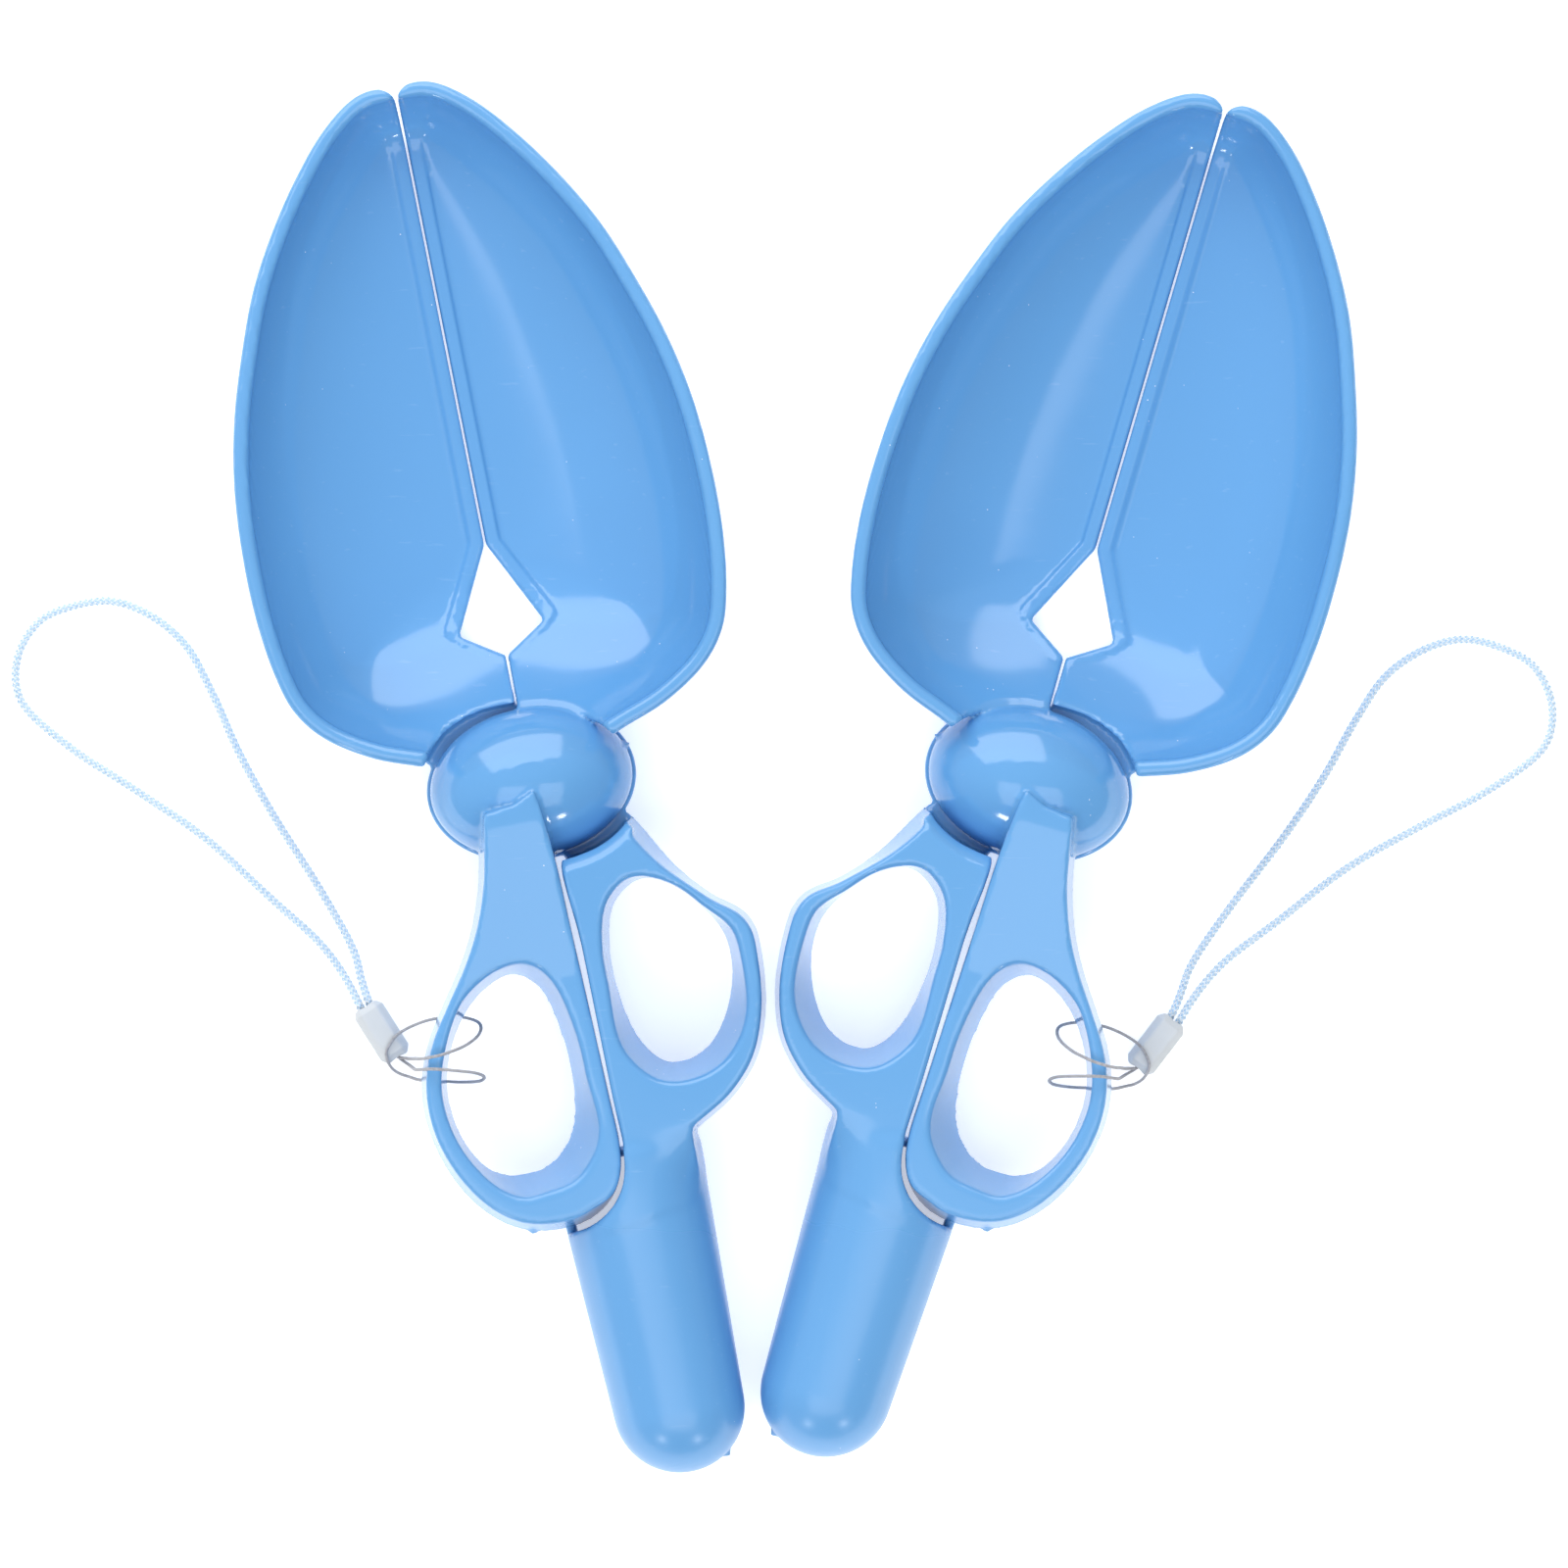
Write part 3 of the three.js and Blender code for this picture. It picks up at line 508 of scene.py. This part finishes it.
# ---- Meshes ----
def mesh_of(name, points, faces, matrix, second=None):
    """A smooth mesh object from points in metres, placed by its vertices.

    second marks the faces that take the object's second material.
    """
    m = np.array(matrix)
    placed = points @ m[:3, :3].T + m[:3, 3]
    faces = np.array(faces)
    if np.linalg.det(m[:3, :3]) < 0:
        faces = faces[:, ::-1]
    mesh = bpy.data.meshes.new(name)
    mesh.vertices.add(len(placed))
    mesh.vertices.foreach_set("co", placed.astype(np.float32).ravel())
    sides = faces.shape[1]
    mesh.loops.add(faces.size)
    mesh.loops.foreach_set("vertex_index", faces.astype(np.int32).ravel())
    mesh.polygons.add(len(faces))
    mesh.polygons.foreach_set("loop_start", np.arange(0, faces.size, sides, dtype=np.int32))
    if second is not None:
        mesh.polygons.foreach_set("material_index", second.astype(np.int32))
    mesh.update(calc_edges=True)
    mesh.validate()
    mesh.shade_smooth()
    thing = bpy.data.objects.new(name, mesh)
    bpy.context.collection.objects.link(thing)
    return thing


def moulding(build, low, high, voxel):
    f = Field(low, high, voxel)
    points, quads = f.surface(build(f))
    return points * MM, quads[:, ::-1]


# ---- Cords made of strands ----
def along_route(route, spacing):
    """Points at even spacing on the route, with two directions square to it at each, that don't twist."""
    fine = through(route, 12, False)
    run = np.concatenate([[0], np.cumsum(np.linalg.norm(np.diff(fine, axis=0), axis=1))])
    s = np.linspace(0, run[-1], max(2, round(run[-1] / spacing)))
    points = np.stack([np.interp(s, run, fine[:, k]) for k in range(3)], axis=1)
    ahead = np.gradient(points, axis=0)
    ahead /= np.linalg.norm(ahead, axis=1)[:, None]
    side = np.cross(ahead[0], (0, 0, 1))
    sides = []
    for direction in ahead:
        side = side - direction * side.dot(direction)
        side = side / np.linalg.norm(side)
        sides.append(side)
    sides = np.array(sides)
    return s, points, sides, np.cross(ahead, sides)


def tube_faces(rings, corners, first):
    i, k = np.meshgrid(np.arange(rings - 1), np.arange(corners), indexing="ij")
    a = i * corners + k
    b = i * corners + (k + 1) % corners
    return (np.stack([a, b, b + corners, a + corners], axis=-1).reshape(-1, 4) + first)[:, ::-1]


def strand(route, angle, reach, radius, corners):
    """One strand that winds round the route at an angle and reach that change along it."""
    s, points, across, up = route
    middle = points + across * (reach * np.cos(angle))[:, None] + up * (reach * np.sin(angle))[:, None]
    t = np.arange(corners) / corners * 2 * math.pi
    ring = across[:, None] * np.cos(t)[None, :, None] + up[:, None] * np.sin(t)[None, :, None]
    return (middle[:, None] + radius * ring).reshape(-1, 3), tube_faces(len(s), corners, 0)


def bundle(strands):
    points = []
    faces = []
    first = 0
    for p, q in strands:
        points.append(p)
        faces.append(q + first)
        first += len(p)
    return np.vstack(points), np.vstack(faces)


def braided(route_points):
    """A round braid: four strands wind each way and pass over and under each other, round a core."""
    route = along_route(route_points, 0.0002)
    s = route[0]
    wind = 2 * math.pi / BRAID_TURN * s
    weave = BRAID_WEAVE * np.cos(4 * wind)
    strands = [strand(route, wind * 0, s * 0, BRAID_CORE_R, 6)]
    for k in range(4):
        start = k * math.pi / 2
        strands.append(strand(route, start + wind, BRAID_STRAND_OUT + weave, BRAID_STRAND_R, 4))
        strands.append(strand(route, start - wind, BRAID_STRAND_OUT - weave, BRAID_STRAND_R, 4))
    points, faces = bundle(strands)
    core = len(strands[0][1])
    each = len(strands[1][1])
    strand_number = np.maximum(np.arange(len(faces)) - core, -1) // each
    return points, faces, (strand_number >= 0) & (strand_number % 2 == 0)


def twisted(route_points):
    """Three strands laid together."""
    route = along_route(route_points, 0.00015)
    s = route[0]
    wind = 2 * math.pi / TWIST_TURN * s
    out = TWIST_STRAND_OUT + 0 * s
    return bundle([strand(route, wind + k * 2 * math.pi / 3, out, TWIST_STRAND_R, 5) for k in range(3)])


# ---- Materials ----
def srgb(r, g, b):
    """A colour given as it looks, 0 to 255, as the shader's linear value."""
    def linear(v):
        v = v / 255
        return v / 12.92 if v <= 0.04045 else ((v + 0.055) / 1.055) ** 2.4

    return (linear(r), linear(g), linear(b), 1)


class Nodes:
    """A material's node tree with short ways to add to it."""

    def __init__(self, name):
        self.material = bpy.data.materials.new(name)
        self.material.use_nodes = True
        self.tree = self.material.node_tree
        self.shader = self.tree.nodes["Principled BSDF"]
        self.place = self.tree.nodes.new("ShaderNodeTexCoord").outputs["Object"]

    def add(self, kind, **inputs):
        node = self.tree.nodes.new(kind)
        for name, value in inputs.items():
            self.feed(node.inputs[name], value)
        return node

    def feed(self, socket, value):
        if isinstance(value, bpy.types.NodeSocket):
            self.tree.links.new(value, socket)
        else:
            socket.default_value = value

    def noise(self, scale, detail=3, stretch=None, turn=0):
        where = self.place
        if stretch:
            mapping = self.add("ShaderNodeMapping", Vector=where, Scale=stretch)
            mapping.inputs["Rotation"].default_value = (0, 0, math.radians(turn))
            where = mapping.outputs["Vector"]
        return self.add("ShaderNodeTexNoise", Vector=where, Scale=scale, Detail=detail).outputs["Fac"]

    def ramp(self, fac, low, high, to_low=0.0, to_high=1.0):
        node = self.add("ShaderNodeMapRange")
        for name, value in (("Value", fac), ("From Min", low), ("From Max", high)):
            self.feed(node.inputs[name], value)
        node.inputs["To Min"].default_value = to_low
        node.inputs["To Max"].default_value = to_high
        return node.outputs["Result"]

    def mix(self, fac, a, b):
        node = self.tree.nodes.new("ShaderNodeMix")
        node.data_type = "RGBA"
        self.feed(node.inputs[0], fac)
        self.feed(node.inputs[6], a)
        self.feed(node.inputs[7], b)
        return node.outputs[2]

    def bump(self, height, strength, distance):
        node = self.add("ShaderNodeBump", Height=height)
        node.inputs["Strength"].default_value = strength
        node.inputs["Distance"].default_value = distance
        self.feed(self.shader.inputs["Normal"], node.outputs["Normal"])

    def set(self, **values):
        for name, value in values.items():
            self.feed(self.shader.inputs[name.replace("_", " ")], value)


def blue_plastic():
    """Glossy polypropylene: fine rubs, a few dust specks and a faint unevenness in the skin."""
    n = Nodes("blue_plastic")
    tone = n.ramp(n.noise(14, 1), 0.2, 0.8)
    base = n.mix(tone, srgb(95, 157, 213), srgb(100, 162, 218))
    rubs = n.ramp(n.noise(90, 5, stretch=(1, 9, 9), turn=52), 0.66, 0.74)
    specks = n.add("ShaderNodeTexVoronoi", Vector=n.place, Scale=420).outputs["Distance"]
    specks = n.ramp(specks, 0.07, 0.05)
    sparse = n.ramp(n.noise(120, 1), 0.62, 0.66)
    dust = n.add("ShaderNodeMath")
    dust.operation = "MULTIPLY"
    n.feed(dust.inputs[0], specks)
    n.feed(dust.inputs[1], sparse)
    marked = n.mix(n.ramp(rubs, 0, 1, 0, 0.08), base, srgb(190, 215, 245))
    n.set(Base_Color=n.mix(dust.outputs["Value"], marked, srgb(225, 235, 248)))
    along = n.add("ShaderNodeSeparateXYZ", Vector=n.place).outputs["Y"]
    satin = n.ramp(along, -0.07, -0.11, 0, 0.16)
    rough = n.add("ShaderNodeMath")
    n.feed(rough.inputs[0], n.ramp(n.noise(45, 1), 0.2, 0.8, 0.11, 0.15))
    n.feed(rough.inputs[1], satin)
    n.set(Roughness=rough.outputs["Value"], IOR=1.55, Specular_IOR_Level=0.65)
    n.bump(n.noise(90, 2), 0.08, 0.0004)
    return n.material


def steel():
    n = Nodes("pivot_steel")
    n.set(Base_Color=n.mix(n.noise(900, 4), srgb(150, 152, 158), srgb(200, 202, 206)), Metallic=1.0)
    n.set(Roughness=n.ramp(n.noise(700, 3), 0.3, 0.7, 0.22, 0.42))
    n.bump(n.noise(2500, 2), 0.1, 0.0001)
    return n.material


def sleeve():
    n = Nodes("ferrule_plastic")
    n.set(Base_Color=n.mix(n.noise(160, 4), srgb(196, 201, 206), srgb(206, 211, 215)), Roughness=0.38)
    n.bump(n.noise(700, 3), 0.12, 0.0001)
    return n.material


def braid(name, light, dark):
    n = Nodes(name)
    n.set(Base_Color=n.mix(n.ramp(n.noise(1400, 2), 0.4, 0.6), light, dark), Roughness=0.75)
    n.bump(n.noise(4000, 2, stretch=(1, 1, 3)), 0.4, 0.0001)
    return n.material


def thread():
    n = Nodes("thin_cord")
    n.set(Base_Color=n.mix(n.noise(1500, 2), srgb(128, 128, 134), srgb(205, 205, 210)), Roughness=0.55)
    n.bump(n.noise(5000, 2), 0.3, 0.00005)
    return n.material


def floor_paint():
    n = Nodes("floor_paint")
    n.set(Base_Color=n.mix(n.noise(3, 3), srgb(238, 240, 242), srgb(244, 245, 247)), Roughness=0.85)
    n.set(Emission_Color=(1, 1, 1, 1), Emission_Strength=0.5)
    return n.material


def give(thing, body, nodes, material):
    thing.data.materials.append(material)
    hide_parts(nodes)
    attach(thing, body)


# ---- Camera, floor and light ----
def look(at, target, thing):
    thing.location = at
    thing.rotation_euler = (Vector(target) - Vector(at)).to_track_quat("-Z", "Y").to_euler()


camera = bpy.data.objects.new("camera", bpy.data.cameras.new("camera"))
camera.data.lens = LENS
camera.data.sensor_width = SENSOR
camera.location = (*VIEW_CENTRE, VIEW_WIDTH * LENS / SENSOR + 0.02)
bpy.context.collection.objects.link(camera)
bpy.context.scene.camera = camera

bpy.ops.mesh.primitive_plane_add(size=8, location=(0, 0, 0))
floor = bpy.context.object
floor.name = "floor"
floor.data.materials.append(floor_paint())


def softbox(name, at, target, width, height, watts, glossy=True):
    data = bpy.data.lights.new(name, "AREA")
    data.shape = "RECTANGLE"
    data.size = width
    data.size_y = height
    data.energy = watts
    thing = bpy.data.objects.new(name, data)
    bpy.context.collection.objects.link(thing)
    thing.visible_glossy = glossy
    look(at, target, thing)


softbox("south_box", (0, -2.2, 5), (0, -0.4, 0), 6, 3.8, 100)
softbox("south_fill", (0, -2.2, 5), (0, -0.4, 0), 6, 3.8, 150, glossy=False)
softbox("north_box", (-0.6, 2.2, 1.5), (0, 0, 0), 3.4, 2.4, 60)
for number, across in enumerate((-0.62, 0.62)):
    softbox(f"low_lamp_{number}", (across, -1.24, 0.56), (0, 0, 0), 0.15, 0.15, 1.3)

# The room is bright to the north and west and dimmer to the south-east.
world = bpy.data.worlds.new("world")
world.use_nodes = True
sky = world.node_tree
direction = sky.nodes.new("ShaderNodeTexCoord").outputs["Generated"]
facing = sky.nodes.new("ShaderNodeVectorMath")
facing.operation = "DOT_PRODUCT"
facing.inputs[1].default_value = (-0.45, 0.8, 0.2)
sky.links.new(direction, facing.inputs[0])
bright = sky.nodes.new("ShaderNodeMapRange")
sky.links.new(facing.outputs["Value"], bright.inputs["Value"])
for name, value in (("From Min", -0.3), ("From Max", 0.4), ("To Min", 0.26), ("To Max", 0.5)):
    bright.inputs[name].default_value = value
sky.links.new(bright.outputs["Result"], sky.nodes["Background"].inputs["Strength"])
sky.nodes["Background"].inputs["Color"].default_value = (1, 1, 1, 1)
bpy.context.scene.world = world
bpy.context.scene.view_settings.view_transform = "Standard"

# ---- The pieces ----
# Voxel sizes, in millimetres.
UPPER_VOXEL = 0.78
LOWER_VOXEL = 0.86
FINE_VOXEL = 0.15

materials = {
    "blue": blue_plastic(),
    "steel": steel(),
    "sleeve": sleeve(),
    "braid": braid("strap_braid", srgb(238, 242, 247), srgb(224, 234, 243)),
    "thread": thread(),
}
blue_yarn = braid("strap_braid_blue", srgb(172, 206, 236), srgb(198, 222, 242))
upper = moulding(upper_lever, (-42, -107, -2), (59, 170, 39), UPPER_VOXEL)
lower = moulding(lower_lever, (-59, -169, -2), (48, 170, 39), LOWER_VOXEL)
screw_mesh = moulding(screw, (-5, -5, 3), (5, 5, 30), FINE_VOXEL)
washer_mesh = moulding(washer, (-7, -7, 6), (7, 7, 9), FINE_VOXEL)
ferrule_mesh = moulding(ferrule, (-5, -8.5, -5), (5, 8.5, 5), FINE_VOXEL)
ferrule_place = Matrix.Translation((FERRULE_AT[0] * MM, FERRULE_AT[1] * MM, FERRULE["width"] / 2 * MM))
ferrule_place = ferrule_place @ Matrix.Rotation(math.radians(FERRULE_TURN), 4, "Z")
strap_mesh = braided(STRAP_ROUTE)
cord_mesh = twisted(CORD_ROUTE)

for side in SIDES:
    place = placement(side)

    def make(name, mesh, body, node, material, matrix=place):
        thing = mesh_of(f"{side}_{name}", *mesh[:2], matrix, *mesh[2:])
        give(thing, f"{side}_{body}", f"{side}_{node}", materials[material])
        return thing

    make("lower_moulding", lower, "lower", "lower_lever", "blue")
    make("upper_moulding", upper, "upper", "upper_lever", "blue")
    make("screw", screw_mesh, "upper", "pivot_screw", "steel")
    make("washer", washer_mesh, "lower", "pivot_washer", "steel")
    in_place = place @ ferrule_place
    end = make("ferrule", ferrule_mesh, "upper", "strap_ferrule", "sleeve", in_place)
    strap = make("strap", strap_mesh, "upper", "wrist_strap", "braid")
    strap.data.materials.append(blue_yarn)
    cord = make("thin_cord", cord_mesh, "upper", "hitch_cord", "thread")
